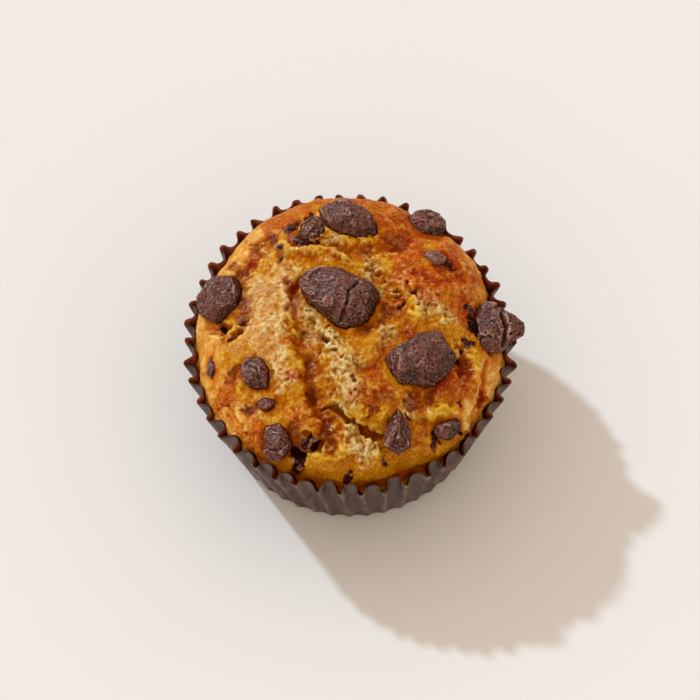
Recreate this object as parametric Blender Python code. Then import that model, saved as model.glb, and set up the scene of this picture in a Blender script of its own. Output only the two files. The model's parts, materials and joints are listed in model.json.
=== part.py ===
"""A banana muffin with dark chocolate chunks, baked in a fluted paper liner.

The muffin stands upright on the table. The origin is the middle of the underside of the liner,
with +Z up. All dimensions are in metres.
"""
import math
import random

import bpy
from mathutils import Matrix, Vector

MM = 0.001

# Paper liner
LINER_HEIGHT = 29.5 * MM
LINER_BASE_RADIUS = 28.6 * MM        # over the flutes, at the table
LINER_RIM_RADIUS = 37.4 * MM         # over the flutes, at the rim
PAPER_THICKNESS = 0.3 * MM
FLUTE_COUNT = 46
FLUTE_DEPTH_BASE = 0.6 * MM
FLUTE_DEPTH_RIM = 2.3 * MM
FLUTE_LEAN = math.radians(3.2)       # how far the foot of a flute is turned past its top
FLUTE_CREST_SHARE = 0.26             # share of the pitch taken by the outer crest
RIM_WAVE = 0.5 * MM                  # the crests stand this far above the rim height

# Baked crumb
LINER_CLEARANCE = 0.45 * MM          # between the crumb and the paper
CRUMB_SHOULDER_HEIGHT = 23.5 * MM    # where the crumb comes away from the flutes
DOME_EDGE_HEIGHT = 28.3 * MM
DOME_EDGE_RADIUS = 33.5 * MM
DOME_TOP_HEIGHT = 40.2 * MM
DOME_FULLNESS = 2.4                  # higher numbers flatten the top and steepen the edge
DOME_RINGS = 17

# Swellings and sunken places of the dome: x, y, reach, rise
DOME_RELIEF = (
    (-20.0 * MM, -3.0 * MM, 9.0 * MM, 1.3 * MM),      # left-hand swelling
    (19.0 * MM, 8.0 * MM, 10.0 * MM, 1.6 * MM),       # right-hand swelling
    (4.0 * MM, -14.0 * MM, 6.0 * MM, 1.0 * MM),       # front swelling
    (-9.0 * MM, 17.0 * MM, 8.0 * MM, 0.8 * MM),       # back swelling
    (25.0 * MM, -16.0 * MM, 6.0 * MM, 0.8 * MM),      # front-right swelling
    (-10.0 * MM, -3.0 * MM, 4.5 * MM, -1.6 * MM),     # hollow left of the middle
    (8.5 * MM, 8.5 * MM, 4.5 * MM, -1.4 * MM),        # hollow right of the middle
    (-6.0 * MM, -16.0 * MM, 3.5 * MM, -1.8 * MM),     # head of the crack
    (-2.0 * MM, -21.0 * MM, 3.0 * MM, -2.4 * MM),     # upper middle of the crack
    (2.5 * MM, -24.5 * MM, 3.0 * MM, -2.4 * MM),      # lower middle of the crack
    (7.5 * MM, -27.0 * MM, 2.5 * MM, -1.6 * MM),      # foot of the crack
    (29.0 * MM, 1.5 * MM, 5.0 * MM, -1.6 * MM),       # sunken place at the right-hand rim
)

# Chocolate
POCKET_CLEARANCE = 0.3 * MM          # between a piece of chocolate and the crumb around it
CHUNK_FACETS = 10                    # broken faces on each piece

# name: x, y, depth, share above the crumb, levelness, fineness, and the reach of its outline from
# its middle, read anticlockwise from +X at even steps; lengths in millimetres. A levelness of 0
# lies square to the dome, and higher numbers lie more level.
CHOCOLATE = {
    "chunk_centre": (-2.0, 5.2, 7.4, 0.60, 0.7, 3,
                     (8.9, 7.3, 6.6, 7.1, 8.3, 11.0, 8.0, 6.5, 6.4, 7.0, 8.3, 8.9)),
    "chunk_right": (15.0, -8.8, 7.4, 0.60, 0.9, 3,
                    (8.2, 7.5, 7.6, 6.2, 4.6, 5.6, 8.4, 7.4, 7.2, 7.0, 6.6, 7.1)),
    "chunk_back": (-0.4, 25.8, 7.4, 0.62, 0.7, 3,
                   (5.6, 4.8, 4.8, 5.4, 5.8, 7.2, 6.6, 4.8, 4.0, 4.2, 6.0, 8.6)),
    "chunk_left": (-28.6, 7.8, 7.2, 0.62, 0.7, 3,
                   (5.0, 6.0, 6.7, 5.9, 4.9, 4.5, 5.1, 5.2, 5.5, 5.9, 5.6, 4.8)),
    "chunk_rim_right": (31.8, 1.6, 4.2, 0.88, 7.0, 3,
                        (7.3, 5.3, 4.9, 5.9, 7.4, 5.0, 4.2, 4.8, 6.4, 6.0, 4.6, 5.0)),
    "chunk_back_right": (16.8, 27.7, 4.6, 0.72, 2.0, 2,
                         (4.2, 3.4, 3.2, 4.3, 4.2, 3.8, 3.6, 4.6)),
    "chunk_crumbled": (-7.8, 23.6, 4.4, 0.54, 0.7, 2,
                       (2.4, 2.6, 3.6, 3.0, 3.6, 4.0, 3.4, 2.6)),
    "chunk_left_small": (-20.8, -11.6, 4.6, 0.60, 0.7, 2,
                         (3.1, 3.5, 3.8, 4.1, 3.1, 3.1, 3.7, 4.2)),
    "chunk_front_left": (-15.8, -26.2, 4.8, 0.54, 0.7, 2,
                         (3.3, 3.2, 4.4, 4.3, 3.1, 4.2, 4.2, 3.2)),
    "chunk_front": (10.0, -25.0, 5.0, 0.60, 0.7, 2,
                    (3.0, 3.5, 5.8, 3.2, 2.8, 4.0, 4.7, 3.8)),
    "chip_front_right": (21.0, -22.8, 3.0, 0.50, 0.7, 2,
                         (3.1, 4.2, 1.4, 1.8, 3.6, 2.8, 2.2, 2.3)),
    "chip_button": (18.4, 16.6, 2.4, 0.54, 0.7, 2,
                    (2.8, 1.9, 2.0, 2.8, 2.7, 1.9, 2.0, 2.8)),
    "chip_left": (-18.3, -18.3, 2.2, 0.52, 0.7, 2,
                  (2.3, 1.4, 1.2, 1.5, 2.3, 1.4, 1.2, 1.3)),
    "chip_far_left": (-30.4, -7.7, 1.8, 0.52, 0.7, 2,
                      (0.9, 1.6, 2.6, 1.4, 0.9, 1.8, 2.6, 1.0)),
}


def clear_scene():
    for item in list(bpy.data.objects):
        bpy.data.objects.remove(item, do_unlink=True)


def make_material(name, colour, roughness):
    """A plain Principled material."""
    material = bpy.data.materials.new(name)
    material.use_nodes = True
    shader = material.node_tree.nodes["Principled BSDF"]
    shader.inputs["Base Color"].default_value = (*colour, 1.0)
    shader.inputs["Roughness"].default_value = roughness
    shader.inputs["Metallic"].default_value = 0.0
    material.diffuse_color = (*colour, 1.0)
    return material


def make_object(name, vertices, faces, material):
    """An object from vertices and outward faces, smooth except at sharp edges."""
    mesh = bpy.data.meshes.new(name)
    mesh.from_pydata([tuple(v) for v in vertices], [], faces)
    mesh.update()
    mesh.validate()
    mesh.materials.append(material)
    mesh.shade_smooth()
    mesh.set_sharp_from_angle(angle=math.radians(40.0))
    item = bpy.data.objects.new(name, mesh)
    bpy.context.scene.collection.objects.link(item)
    return item


def flute_ring(z, inset, lift=0.0):
    """One turn of the fluted wall at height z, moved inwards by inset.

    Each flute has four corners: two on its outer crest and two in its inner fold.
    The crests are raised by lift and the folds are lowered by as much.
    """
    rise = min(1.0, max(0.0, z / LINER_HEIGHT))
    crest = LINER_BASE_RADIUS + (LINER_RIM_RADIUS - LINER_BASE_RADIUS) * rise - inset
    fold = crest - (FLUTE_DEPTH_BASE + (FLUTE_DEPTH_RIM - FLUTE_DEPTH_BASE) * rise)
    turn = FLUTE_LEAN * (1.0 - rise)
    pitch = math.tau / FLUTE_COUNT
    half_crest = 0.5 * FLUTE_CREST_SHARE
    corners = (
        (-half_crest, crest, lift),
        (half_crest, crest, lift),
        (0.5 - half_crest, fold, -lift),
        (0.5 + half_crest, fold, -lift),
    )
    ring = []
    for flute in range(FLUTE_COUNT):
        for share, radius, rise_here in corners:
            angle = (flute + share) * pitch + turn
            ring.append(Vector((radius * math.cos(angle), radius * math.sin(angle), z + rise_here)))
    return ring


def join_rings(rings):
    """Faces between rings of equal or halving counts, each ring above or inside the one before."""
    faces = []
    start = 0
    for lower, upper in zip(rings, rings[1:]):
        low_count = len(lower)
        up_count = len(upper)
        up_start = start + low_count
        step = low_count // up_count
        for i in range(up_count):
            j = (i + 1) % up_count
            outer = [start + (i * step + k) % low_count for k in range(step + 1)]
            faces.append(outer + [up_start + j, up_start + i])
        start = up_start
    return faces


def make_liner(material):
    """The fluted paper cup: one skin outside, one inside, joined at the rim."""
    outside = [flute_ring(0.0, 0.0)]
    outside.append(flute_ring(0.5 * LINER_HEIGHT, 0.0))
    outside.append(flute_ring(LINER_HEIGHT, 0.0, RIM_WAVE))
    inside = [flute_ring(LINER_HEIGHT, PAPER_THICKNESS, RIM_WAVE)]
    inside.append(flute_ring(0.5 * LINER_HEIGHT, PAPER_THICKNESS))
    inside.append(flute_ring(PAPER_THICKNESS, PAPER_THICKNESS))
    rings = outside + inside
    vertices = [v for ring in rings for v in ring]
    faces = join_rings(rings)
    count = len(rings[0])
    underside = len(vertices)
    vertices.append(Vector((0.0, 0.0, 0.0)))
    floor = len(vertices)
    vertices.append(Vector((0.0, 0.0, PAPER_THICKNESS)))
    last = count * (len(rings) - 1)
    for i in range(count):
        j = (i + 1) % count
        faces.append([underside, j, i])
        faces.append([floor, last + i, last + j])
    return make_object("paper_liner", vertices, faces, material)


def dome_height(x, y):
    """Height of the crumb's top above the table."""
    share = min(1.0, math.hypot(x, y) / DOME_EDGE_RADIUS)
    swell = (1.0 - share ** DOME_FULLNESS) ** 0.6
    height = DOME_EDGE_HEIGHT + (DOME_TOP_HEIGHT - DOME_EDGE_HEIGHT) * swell
    edge_fade = min(1.0, (1.0 - share) / 0.12)
    for px, py, reach, rise in DOME_RELIEF:
        away = math.hypot(x - px, y - py) / reach
        height += edge_fade * rise * math.exp(-away * away)
    return height


def dome_normal(x, y):
    """Outward direction of the dome at x, y."""
    step = 1.5 * MM
    slope_x = (dome_height(x + step, y) - dome_height(x - step, y)) / (2.0 * step)
    slope_y = (dome_height(x, y + step) - dome_height(x, y - step)) / (2.0 * step)
    return Vector((-slope_x, -slope_y, 1.0)).normalized()


def dome_ring(share, count):
    """One turn of the dome at a share of its edge radius."""
    ring = []
    for i in range(count):
        angle = math.tau * i / count
        x = share * DOME_EDGE_RADIUS * math.cos(angle)
        y = share * DOME_EDGE_RADIUS * math.sin(angle)
        ring.append(Vector((x, y, dome_height(x, y))))
    return ring


def make_crumb(material):
    """The baked solid: flat foot, fluted side and lumpy dome."""
    inset = PAPER_THICKNESS + LINER_CLEARANCE
    foot = PAPER_THICKNESS + LINER_CLEARANCE
    rings = [flute_ring(foot, inset)]
    rings.append(flute_ring(0.5 * LINER_HEIGHT, inset))
    rings.append(flute_ring(CRUMB_SHOULDER_HEIGHT, inset))
    count = len(rings[0])
    shares = [math.sin(0.5 * math.pi * (1.0 - k / DOME_RINGS)) for k in range(DOME_RINGS)]
    for k, share in enumerate(shares):
        if k == 1 or share < 0.45 and count > 46 or share < 0.2 and count > 23:
            count = count // 2
        rings.append(dome_ring(share, count))
    vertices = [v for ring in rings for v in ring]
    faces = join_rings(rings)
    foot_centre = len(vertices)
    vertices.append(Vector((0.0, 0.0, foot)))
    for i in range(len(rings[0])):
        faces.append([foot_centre, (i + 1) % len(rings[0]), i])
    top_centre = len(vertices)
    vertices.append(Vector((0.0, 0.0, dome_height(0.0, 0.0))))
    last = foot_centre - len(rings[-1])
    for i in range(len(rings[-1])):
        faces.append([top_centre, last + i, last + (i + 1) % len(rings[-1])])
    return make_object("muffin_crumb", vertices, faces, material)


def broken_ball(seed, fineness):
    """A rounded ball with flat broken faces: directions, radii and faces."""
    bpy.ops.mesh.primitive_ico_sphere_add(subdivisions=fineness, radius=1.0)
    ball = bpy.context.object
    directions = [v.co.normalized() for v in ball.data.vertices]
    faces = [list(p.vertices) for p in ball.data.polygons]
    bpy.data.objects.remove(ball, do_unlink=True)
    dice = random.Random(seed)
    cuts = []
    for k in range(CHUNK_FACETS):
        height = 1.0 - 2.0 * (k + 0.5) / CHUNK_FACETS
        angle = 2.39996 * k + dice.uniform(-0.4, 0.4)
        around = math.sqrt(1.0 - height * height)
        cut = Vector((around * math.cos(angle), around * math.sin(angle), height))
        cuts.append((cut, dice.uniform(0.84, 0.96)))
    radii = []
    for direction in directions:
        radius = 1.0
        for cut, depth in cuts:
            facing = direction.dot(cut)
            if facing > 0.3:
                radius = min(radius, depth / facing)
        radii.append(radius)
    return directions, radii, faces


def outline_reach(outline, angle):
    """Reach of an outline at an angle, between its even steps."""
    place = (angle % math.tau) / math.tau * len(outline)
    before = int(place) % len(outline)
    after = (before + 1) % len(outline)
    share = place - int(place)
    return (outline[before] * (1.0 - share) + outline[after] * share) * MM


def chunk_corners(name, grow):
    """The corners of one piece of chocolate, bedded in the dome and made bigger by grow."""
    x, y, depth, proud, levelness, fineness, outline = CHOCOLATE[name]
    normal = (dome_normal(x * MM, y * MM) + Vector((0.0, 0.0, levelness))).normalized()
    along = (Vector((1.0, 0.0, 0.0)) - normal * normal.x).normalized()
    across = normal.cross(along)
    turn = Matrix((along, across, normal)).transposed()
    seat = Vector((x * MM, y * MM, dome_height(x * MM, y * MM)))
    seat += normal * (proud - 0.5) * depth * MM
    directions, radii, faces = broken_ball(sum(map(ord, name)), fineness)
    corners = []
    for direction, radius in zip(directions, radii):
        reach = outline_reach(outline, math.atan2(direction.y, direction.x))
        corner = Vector((
            radius * direction.x * reach,
            radius * direction.y * reach,
            radius * direction.z * 0.5 * depth * MM,
        ))
        corner += direction * grow
        corners.append(seat + turn @ corner)
    return corners, faces


def cut_pockets(crumb, material):
    """Cuts a close-fitting pocket in the crumb for every piece of chocolate."""
    pockets = bpy.data.collections.new("chocolate_pockets")
    bpy.context.scene.collection.children.link(pockets)
    for name in CHOCOLATE:
        corners, faces = chunk_corners(name, POCKET_CLEARANCE)
        cutter = make_object("pocket_of_" + name, corners, faces, material)
        bpy.context.scene.collection.objects.unlink(cutter)
        pockets.objects.link(cutter)
        cutter.hide_render = True
        cutter.display_type = "WIRE"
    pocket_cut = crumb.modifiers.new("pockets", "BOOLEAN")
    pocket_cut.operation = "DIFFERENCE"
    pocket_cut.operand_type = "COLLECTION"
    pocket_cut.collection = pockets
    pocket_cut.solver = "EXACT"


def main():
    clear_scene()
    crumb_material = make_material("baked_crumb", (0.62, 0.36, 0.12), 0.6)
    paper_material = make_material("liner_paper", (0.09, 0.055, 0.045), 0.55)
    chocolate_material = make_material("dark_chocolate", (0.055, 0.025, 0.018), 0.5)
    make_liner(paper_material)
    crumb = make_crumb(crumb_material)
    for name in CHOCOLATE:
        corners, faces = chunk_corners(name, 0.0)
        make_object(name, corners, faces, chocolate_material)
    cut_pockets(crumb, crumb_material)


main()
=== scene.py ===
"""Banana muffin with dark chocolate in a fluted paper liner: the visual model.

Laid out as an add-on: each piece of the muffin, and the stage it stands on, has its own operator,
and the sidebar panel lists them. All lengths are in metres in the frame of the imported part.
"""

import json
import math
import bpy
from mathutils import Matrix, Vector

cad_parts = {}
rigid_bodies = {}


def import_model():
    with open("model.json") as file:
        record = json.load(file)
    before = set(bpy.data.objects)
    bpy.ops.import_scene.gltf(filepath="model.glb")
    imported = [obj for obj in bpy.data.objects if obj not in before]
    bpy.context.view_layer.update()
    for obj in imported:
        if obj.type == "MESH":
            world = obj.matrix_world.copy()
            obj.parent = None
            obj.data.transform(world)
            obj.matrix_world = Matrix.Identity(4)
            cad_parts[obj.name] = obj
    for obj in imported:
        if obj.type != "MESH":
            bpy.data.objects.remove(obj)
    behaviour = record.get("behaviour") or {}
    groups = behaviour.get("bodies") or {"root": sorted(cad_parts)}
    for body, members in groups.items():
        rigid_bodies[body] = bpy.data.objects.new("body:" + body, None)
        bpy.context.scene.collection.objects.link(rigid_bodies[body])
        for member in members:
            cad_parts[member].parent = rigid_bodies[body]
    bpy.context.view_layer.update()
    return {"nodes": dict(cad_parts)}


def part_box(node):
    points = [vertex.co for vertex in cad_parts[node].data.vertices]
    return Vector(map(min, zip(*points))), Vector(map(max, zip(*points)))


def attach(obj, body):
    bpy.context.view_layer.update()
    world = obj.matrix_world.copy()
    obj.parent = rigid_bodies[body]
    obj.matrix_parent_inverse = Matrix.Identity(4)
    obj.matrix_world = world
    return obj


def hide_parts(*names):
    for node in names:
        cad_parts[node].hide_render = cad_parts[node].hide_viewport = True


bl_info = {
    "name": "Banana chocolate muffin",
    "version": (1, 0, 0),
    "blender": (4, 5, 0),
    "location": "View3D > Sidebar > Muffin",
    "description": "Builds a banana muffin with dark chocolate in a fluted paper liner",
    "category": "Object",
}

import bpy
import numpy as np
from mathutils import Vector, noise
from mathutils.bvhtree import BVHTree

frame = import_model()
LINER_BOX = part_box("paper_liner")

MM = 0.001
TILT_SEED = 4


def hex_colour(text):
    """An sRGB hex value as a linear colour."""
    values = []
    for start in (1, 3, 5):
        part = int(text[start:start + 2], 16) / 255.0
        values.append(part / 12.92 if part <= 0.04045 else ((part + 0.055) / 1.055) ** 2.4)
    return tuple(values)


# ---------------------------------------------------------------------------
# Sizes and colours
# ---------------------------------------------------------------------------

class MuffinSizes(bpy.types.PropertyGroup):
    """Sizes of the liner and of the baked dome."""

    rim_radius: bpy.props.FloatProperty(
        name="Rim radius", description="Radius over the flutes at the rim",
        default=float(LINER_BOX[1][0]) - 0.6 * MM, unit="LENGTH")
    base_radius: bpy.props.FloatProperty(
        name="Base radius", description="Radius over the flutes at the table",
        default=28.6 * MM, unit="LENGTH")
    liner_height: bpy.props.FloatProperty(
        name="Liner height", description="Height of the paper wall",
        default=29.6 * MM, unit="LENGTH")
    paper: bpy.props.FloatProperty(
        name="Paper", description="Thickness of the paper with its coating",
        default=0.16 * MM, unit="LENGTH")
    flutes: bpy.props.IntProperty(
        name="Flutes", description="Number of flutes round the liner", default=46)
    edge_radius: bpy.props.FloatProperty(
        name="Dome edge radius", description="Radius where the dome starts",
        default=34.1 * MM, unit="LENGTH")
    edge_height: bpy.props.FloatProperty(
        name="Dome edge height", description="Height where the dome starts",
        default=28.0 * MM, unit="LENGTH")
    top_height: bpy.props.FloatProperty(
        name="Dome top height", description="Height of the top of the dome",
        default=40.2 * MM, unit="LENGTH")
    chocolate_detail: bpy.props.FloatProperty(
        name="Chocolate detail", description="Size of the smallest face on a piece of chocolate",
        default=0.22 * MM, unit="LENGTH")


class MuffinColours(bpy.types.PropertyGroup):
    """Colours of the crumb, the chocolate, the paper and the floor."""

    golden: bpy.props.FloatVectorProperty(
        name="Golden crust", description="Lightly baked crust", subtype="COLOR",
        default=hex_colour("#CE9216"))
    tan: bpy.props.FloatVectorProperty(
        name="Tan skin", description="Smooth skin at the rim", subtype="COLOR",
        default=hex_colour("#E8B268"))
    grainy: bpy.props.FloatVectorProperty(
        name="Sugary crust", description="Pale granular crust", subtype="COLOR",
        default=hex_colour("#DCAA5C"))
    pale: bpy.props.FloatVectorProperty(
        name="Open crumb", description="Torn, unbrowned inside of the cake", subtype="COLOR",
        default=hex_colour("#DAB060"))
    browned: bpy.props.FloatVectorProperty(
        name="Browned crust", description="Crust that took the most heat", subtype="COLOR",
        default=hex_colour("#B05E06"))
    scorched: bpy.props.FloatVectorProperty(
        name="Scorched edges", description="Caramelised ridges", subtype="COLOR",
        default=hex_colour("#A85A0C"))
    chocolate: bpy.props.FloatVectorProperty(
        name="Chocolate", description="Dark chocolate", subtype="COLOR",
        default=hex_colour("#72493A"))
    paper_outside: bpy.props.FloatVectorProperty(
        name="Paper outside", description="Outer face of the liner", subtype="COLOR",
        default=hex_colour("#523528"))
    # The inside is stained by baking and also painted redder and lighter, as a painted glow of light
    # shining through the paper.
    paper_inside: bpy.props.FloatVectorProperty(
        name="Paper inside", description="Inner face of the liner, stained by baking",
        subtype="COLOR", default=hex_colour("#904A30"))
    floor: bpy.props.FloatVectorProperty(
        name="Floor", description="Matt pale board", subtype="COLOR",
        default=hex_colour("#EFEAE6"))


# ---------------------------------------------------------------------------
# Shared helpers
# ---------------------------------------------------------------------------

def deselect_all():
    if bpy.context.object and bpy.context.object.mode != "OBJECT":
        bpy.ops.object.mode_set(mode="OBJECT")
    bpy.ops.object.select_all(action="DESELECT")


def make_active(item):
    deselect_all()
    item.select_set(True)
    bpy.context.view_layer.objects.active = item


def apply_modifier(item, kind, **settings):
    """Adds a modifier with its settings and applies it."""
    make_active(item)
    modifier = item.modifiers.new(kind.lower(), kind)
    for name, value in settings.items():
        setattr(modifier, name, value)
    bpy.ops.object.modifier_apply(modifier=modifier.name)


def read_points(mesh):
    points = np.empty(len(mesh.vertices) * 3)
    mesh.vertices.foreach_get("co", points)
    return points.reshape(-1, 3)


def read_normals(mesh):
    normals = np.empty(len(mesh.vertices) * 3)
    mesh.vertices.foreach_get("normal", normals)
    return normals.reshape(-1, 3)


def write_points(mesh, points):
    mesh.vertices.foreach_set("co", np.ascontiguousarray(points, dtype=np.float64).ravel())
    mesh.update()


def write_mask(mesh, name, values):
    """Stores one number per vertex for a material to read."""
    layer = mesh.attributes.new(name, "FLOAT", "POINT")
    layer.data.foreach_set("value", np.clip(values, 0.0, 1.0).astype(np.float32))


def smooth_step(low, high, values):
    share = np.clip((values - low) / (high - low), 0.0, 1.0)
    return share * share * (3.0 - 2.0 * share)


def rough_field(points, size, octaves=3, shift=0.0):
    """Fractal noise at points, about -1 to 1, with lumps about size wide."""
    scale = 1.0 / size
    offset = Vector((shift, shift * 1.7, shift * 2.3))
    return np.array([
        noise.fractal(Vector(point) * scale + offset, 1.0, 2.0, octaves,
                      noise_basis="PERLIN_ORIGINAL")
        for point in points.tolist()])


def grain_field(points, size, shift=0.0):
    """Rounded grains about size across: 1 on the crown of a grain, 0 between grains."""
    scale = 1.0 / size
    offset = Vector((shift, shift * 1.3, shift * 0.7))
    away = np.array([noise.voronoi(Vector(point) * scale + offset)[0][0]
                     for point in points.tolist()])
    return np.clip(1.0 - 2.2 * away * away, 0.0, 1.0)


def facet_field(points, size, shift=0.0):
    """Flat, tilted patches about size wide that meet in creases, about -0.5 to 0.5."""
    # The tilts come from Blender's random offsets, which change with the time unless seeded.
    noise.seed_set(TILT_SEED)
    scale = 1.0 / size
    offset = Vector((shift, shift * 1.9, shift * 0.6))
    values = []
    for point in points.tolist():
        place = Vector(point) * scale + offset
        heart = noise.voronoi(place)[1][0]
        values.append((place - heart).dot(noise.noise_vector(heart * 1.7)))
    return np.array(values)


def stand_proud(mesh, points, normals, passes):
    """How far each point stands above the surface round it, which widens with the passes."""
    edges = np.array(mesh.edge_keys)
    total = len(points)
    neighbours = np.maximum(np.bincount(edges.ravel(), minlength=total), 1)
    level = points.copy()
    for _ in range(passes):
        level = np.column_stack([
            (np.bincount(edges[:, 0], level[edges[:, 1], axis], total)
             + np.bincount(edges[:, 1], level[edges[:, 0], axis], total)) / neighbours
            for axis in range(3)])
    return ((points - level) * normals).sum(axis=1)


def around_the_rim(angle, places):
    """Sum of soft bumps round the rim, in metres."""
    total = np.zeros(len(angle))
    for middle_angle, half_width, amount in places:
        away = (np.degrees(angle) - middle_angle + 180.0) % 360.0 - 180.0
        total += amount * MM * np.exp(-(away / half_width) ** 2)
    return total


def finish_piece(piece, node):
    """Says what the piece moves with and which node it replaces."""
    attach(piece, "root")
    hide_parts(node)


def add_node(tree, kind, settings=None, links=None):
    """Adds a shader node. Settings are properties or input values, links feed inputs."""
    node = tree.nodes.new(kind)
    for name, value in (settings or {}).items():
        if isinstance(name, str) and hasattr(node, name):
            setattr(node, name, value)
        else:
            node.inputs[name].default_value = value
    for name, source in (links or {}).items():
        tree.links.new(source, node.inputs[name])
    return node


def new_material(name):
    """An empty node material and its shader, already joined to the output."""
    material = bpy.data.materials.new(name)
    material.use_nodes = True
    tree = material.node_tree
    shader = tree.nodes["Principled BSDF"]
    return material, tree, shader


# ---------------------------------------------------------------------------
# Paper liner
# ---------------------------------------------------------------------------

FLUTE_LEAN = math.radians(3.2)
FOLD_DEPTH_BASE = 0.30 * MM
FOLD_DEPTH_RIM = 2.3 * MM
POINTS_PER_FLUTE = 26
WALL_ROWS = 26
UNEVENNESS = ("fold", "tip", "push", "tall", "sag", "loop")     # what differs from flute to flute
UNEVEN_SEED = 11
CRUMPLE_SIZE = 9.0 * MM
CRUMPLE_DEPTH = 0.22 * MM
FIBRE_SIZE = 1.11 * MM           # clumps of fibre
STREAK_WIDTH = 1.47 * MM         # cracks in the wax along a fold, drawn six times as long

# Where handling has pushed the paper out of round: angle and half width in degrees, millimetres
PAPER_SHAPE = ((118.0, 26.0, 0.8), (28.0, 26.0, -1.3), (-32.0, 18.0, -0.8))


def flute_wall(sizes, angle, rise, uneven):
    """Radius, turned angle and height of the wall's outer face.

    Lower down the crests are narrow seams between rounded folds. At the lip each fold opens into
    a round lobe with a pinched neck, and every lobe is a little different, as paper is.
    """
    count = sizes.flutes
    pitch = math.tau / count
    place = angle / pitch
    share = place - np.floor(place)
    crest_number = np.rint(place).astype(int) % count
    fold_number = np.floor(place).astype(int) % count
    wave = 0.5 + 0.5 * np.cos(math.tau * share)
    loose = smooth_step(0.35, 1.0, rise)
    lip = smooth_step(0.72, 1.0, rise)
    depth = FOLD_DEPTH_BASE + (FOLD_DEPTH_RIM - FOLD_DEPTH_BASE) * smooth_step(-0.25, 1.0, rise)
    depth = depth * (1.0 + loose * 0.25 * uneven["fold"][fold_number])
    crest = sizes.base_radius + (sizes.rim_radius - sizes.base_radius) * rise
    crest = crest + rise * around_the_rim(angle, PAPER_SHAPE)
    crest = crest + loose * 0.3 * MM * uneven["tip"][crest_number] * wave
    radius = crest - depth * (1.0 - wave)
    narrow = 0.065 - 0.015 * lip
    pinch = 0.010 + lip * (0.034 + 0.026 * uneven["loop"][fold_number])
    turn = FLUTE_LEAN * (1.0 - rise) - pitch * narrow * np.sin(math.tau * share)
    turn = turn + pitch * pinch * np.sin(2.0 * math.tau * share)
    turn = turn + loose ** 2 * 0.12 * pitch * (uneven["push"][crest_number] - 0.1) * wave
    height = sizes.liner_height * rise
    rim_wave = (0.30 * uneven["tall"][crest_number] * wave
                + 0.30 * uneven["sag"][fold_number] * (1.0 - wave))
    height = height + lip * (rim_wave - 0.7 * wave) * MM
    return radius, angle + turn, height, wave


def coated_paper(name, colour, roughness, streak, coat):
    """Greaseproof baking paper: dyed through, calendered and waxed, so it is satin, with streaks of
    wear along its folds where the wax has cracked, and a faint fibre mottle. The crests of the
    flutes carry a painted highlight and the folds between them painted shade."""
    material, tree, shader = new_material(name)
    place = add_node(tree, "ShaderNodeTexCoord")
    fibres = add_node(tree, "ShaderNodeTexNoise", {"Scale": 1.0 / FIBRE_SIZE, "Detail": 4.0,
                                                   "Roughness": 0.6},
                      {"Vector": place.outputs["Object"]})
    along = add_node(tree, "ShaderNodeMapping", {"Scale": (1.0, 1.0, 0.16)},
                     {"Vector": place.outputs["Object"]})
    streaks = add_node(tree, "ShaderNodeTexNoise",
                       {"Scale": 1.0 / STREAK_WIDTH, "Detail": 4.0, "Roughness": 0.62},
                       {"Vector": along.outputs["Vector"]})
    worn_and_sheen = add_node(tree, "ShaderNodeMapRange", {"From Min": 0.44, "From Max": 0.74},
                    {"Value": streaks.outputs["Fac"]})
    tint = add_node(tree, "ShaderNodeMix", {"data_type": "RGBA", 6: (*colour, 1.0),
                                            7: (*streak, 1.0)},
                    {0: worn_and_sheen.outputs["Result"]})
    # Painted highlight on the crests of the flutes and painted shade in the folds between them,
    # stronger where the streaks are.
    crest_light_fold_shade = add_node(tree, "ShaderNodeAttribute", {"attribute_name": "crest_light_fold_shade"})
    crest_highlight = add_node(tree, "ShaderNodeMath", {"operation": "MULTIPLY_ADD", 2: 0.10},
                     {0: crest_light_fold_shade.outputs["Fac"], 1: worn_and_sheen.outputs["Result"]})
    highlight_and_shade_gamma = add_node(tree, "ShaderNodeMapRange",
                      {"From Min": 0.0, "From Max": 0.95, "To Min": 1.24, "To Max": 0.70},
                      {"Value": crest_highlight.outputs["Value"]})
    shade = add_node(tree, "ShaderNodeGamma", {}, {"Color": tint.outputs[2],
                                                   "Gamma": highlight_and_shade_gamma.outputs["Result"]})
    tree.links.new(shade.outputs["Color"], shader.inputs["Base Color"])
    gloss = add_node(tree, "ShaderNodeMapRange",
                     {"To Min": roughness - 0.12, "To Max": roughness + 0.12},
                     {"Value": fibres.outputs["Fac"]})
    tree.links.new(gloss.outputs["Result"], shader.inputs["Roughness"])
    relief = add_node(tree, "ShaderNodeMath", {"operation": "MULTIPLY_ADD", 1: 0.4},
                      {0: fibres.outputs["Fac"], 2: streaks.outputs["Fac"]})
    bump = add_node(tree, "ShaderNodeBump", {"Strength": 0.45, "Distance": 0.16 * MM},
                    {"Height": relief.outputs["Value"]})
    tree.links.new(bump.outputs["Normal"], shader.inputs["Normal"])
    shader.inputs["IOR"].default_value = 1.36
    shader.inputs["Coat Weight"].default_value = coat
    shader.inputs["Coat Roughness"].default_value = 0.3
    return material


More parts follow.
